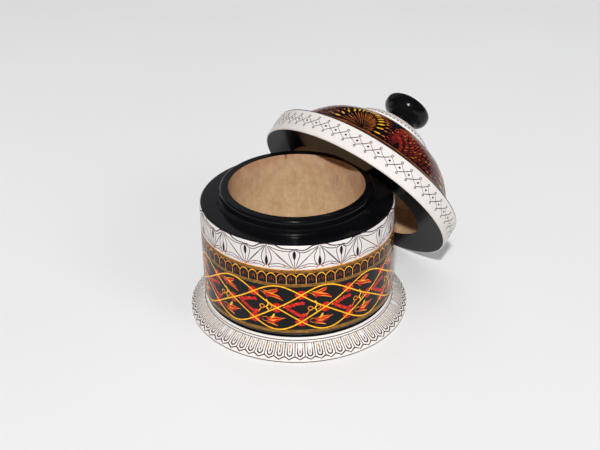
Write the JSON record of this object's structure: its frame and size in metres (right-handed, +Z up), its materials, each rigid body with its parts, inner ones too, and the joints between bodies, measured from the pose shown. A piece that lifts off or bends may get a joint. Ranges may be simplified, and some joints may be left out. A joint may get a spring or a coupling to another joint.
{
  "type": "lidded turned wooden box",
  "caption": "Round lathe-turned wooden box with a flared foot, open, its domed lid with a mushroom knob leaning on it; coats of ivory and black lacquer with painted and engraved bands.",
  "frame": {"origin": "centre of the box's flat base, on the surface that it stands on", "axes": "+Z up along the box's turning axis; the lid leans towards +X and +Y, at 47.9 degrees from +X; a viewer on the -Y side sees the box in front and the lid behind it to the right"},
  "size_m": [0.1459, 0.1476, 0.1019],
  "materials": {
    "bare_wood": "bare turned close-grained hardwood, matt",
    "black_lacquer": "polished black lac",
    "ivory_lacquer": "polished ivory lac with engraved dark lines",
    "painted_black_lacquer": "polished black lac with painted yellow, orange and red ornament"
  },
  "bodies": {
    "box": {"turned_box": "bare_wood", "rim_lacquer": "black_lacquer", "upper_band_lacquer": "ivory_lacquer", "wall_lacquer": "painted_black_lacquer", "foot_lacquer": "ivory_lacquer"},
    "lid": {"turned_lid": "bare_wood", "lid_rim_lacquer": "black_lacquer", "lid_band_lacquer": "ivory_lacquer", "dome_lacquer": "painted_black_lacquer", "boss_lacquer": "ivory_lacquer", "turned_knob": "bare_wood", "knob_lacquer": "black_lacquer"}
  },
  "joints": [
    {"name": "lid_lift", "type": "slide", "parent": "box", "child": "lid", "axis": [0.5485, 0.607, 0.575], "range_m": [0, 0.1]}
  ]
}
